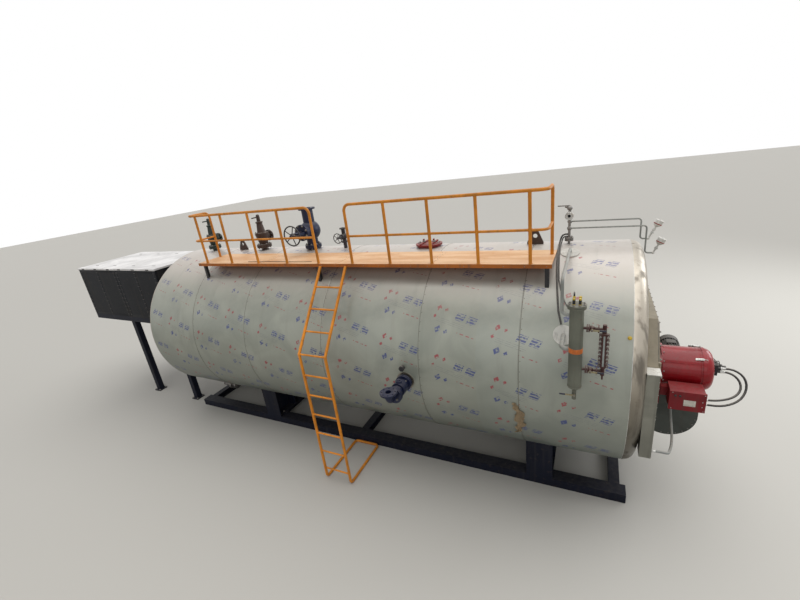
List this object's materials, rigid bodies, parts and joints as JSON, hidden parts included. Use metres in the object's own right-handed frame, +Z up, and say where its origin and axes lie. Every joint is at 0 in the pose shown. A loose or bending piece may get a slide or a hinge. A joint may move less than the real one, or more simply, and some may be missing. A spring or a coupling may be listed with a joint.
{
  "type": "industrial steam boiler",
  "caption": "Horizontal fire-tube steam boiler in film-covered cladding on a skid, with burner, rear economiser, top deck with guard rails, ladder, valves and level gauge.",
  "frame": {"origin": "on the ground, under the shell axis at mid length of the shell, at the underside of the middle cross member", "axes": "+X along the shell towards the burner, -Y towards the side with the deck, ladder and level gauge, +Z up"},
  "size_m": [13.296, 3.6358, 4.322],
  "materials": {
    "navy_steel": "satin, dusty",
    "clad_film": "steel sheet under a pale protective film",
    "end_steel": "satin sheet",
    "bright_trunking": "brushed sheet",
    "burner_red": "gloss paint",
    "dark_grey_casting": "matt",
    "black_casting": "matt",
    "bright_fitting": "satin",
    "black_rubber": "matt",
    "grey_conduit": "matt",
    "dark_economiser": "satin paint",
    "pale_lid": "satin paint",
    "deck_orange": "worn paint",
    "black_steel": "satin paint",
    "guard_orange": "gloss paint",
    "green_valve": "satin paint",
    "brown_valve": "primed, worn",
    "blue_valve": "gloss paint",
    "wheel_black": "satin paint",
    "cover_red": "matt primer",
    "fitting_dark": "satin",
    "pipe_grey": "satin",
    "column_green": "satin paint",
    "gauge_brown": "satin paint",
    "lever_steel": "dull"
  },
  "bodies": {
    "boiler": {"base_rails": "navy_steel", "cross_members": "navy_steel", "saddles": "navy_steel", "shell_band_1": "clad_film", "shell_band_2": "clad_film", "shell_band_3": "clad_film", "shell_band_4": "clad_film", "shell_band_5": "clad_film", "shell_band_6": "clad_film", "rear_end": "end_steel", "front_end": "end_steel", "smoke_box": "end_steel", "cable_trunking": "bright_trunking", "burner_mount": "burner_red", "burner_housing": "burner_red", "control_box": "burner_red", "fan_housing": "dark_grey_casting", "burner_motor": "black_casting", "gas_valve": "bright_fitting", "nozzle_block": "black_casting", "burner_hose_1": "black_rubber", "burner_hose_2": "black_rubber", "control_conduit": "grey_conduit", "economiser_unit_1": "dark_economiser", "economiser_unit_2": "dark_economiser", "economiser_lids": "pale_lid", "economiser_stand": "dark_economiser", "flue_link": "dark_economiser", "deck_plate": "deck_orange", "deck_posts": "black_steel", "guard_posts": "guard_orange", "guard_rails": "guard_orange", "ladder_rails": "guard_orange", "ladder_rungs": "guard_orange", "safety_valve_1": "green_valve", "safety_valve_2": "brown_valve", "steam_valve": "blue_valve", "vent_valve": "green_valve", "manhole_cover": "cover_red", "lifting_lugs": "black_steel", "pressure_fittings": "fitting_dark", "sensing_pipes": "pipe_grey", "pressure_sensors": "bright_fitting", "level_column": "column_green", "level_pipes": "pipe_grey", "pipe_rosettes": "bright_fitting", "level_gauge": "gauge_brown", "level_cables": "black_rubber", "feed_collar": "fitting_dark", "thermometer_pocket": "fitting_dark", "feed_valve": "blue_valve", "blowdown_valve": "fitting_dark"},
    "steam_wheel": {"steam_handwheel": "wheel_black"},
    "vent_wheel": {"vent_handwheel": "wheel_black"},
    "upper_cock": {"upper_cock_lever": "lever_steel"},
    "lower_cock": {"lower_cock_lever": "lever_steel"},
    "drain_cock": {"drain_lever": "lever_steel"}
  },
  "joints": [
    {"name": "steam_wheel_turn", "type": "hinge", "parent": "boiler", "child": "steam_wheel", "pos_m": [-0.95, -0.52, 3.794], "axis": [0, -1, 0], "continuous": true},
    {"name": "vent_wheel_turn", "type": "hinge", "parent": "boiler", "child": "vent_wheel", "pos_m": [-0.24, -0.2, 3.662], "axis": [0, -1, 0], "continuous": true},
    {"name": "upper_cock_turn", "type": "hinge", "parent": "boiler", "child": "upper_cock", "pos_m": [3.7475, -1.692, 2.945], "axis": [0, 1, 0], "range_deg": [0, 90]},
    {"name": "lower_cock_turn", "type": "hinge", "parent": "boiler", "child": "lower_cock", "pos_m": [3.7475, -1.692, 2.46], "axis": [0, 1, 0], "range_deg": [0, 90]},
    {"name": "drain_cock_turn", "type": "hinge", "parent": "boiler", "child": "drain_cock", "pos_m": [3.6, -1.684, 2.14], "axis": [0, -1, 0], "range_deg": [0, 90]}
  ]
}
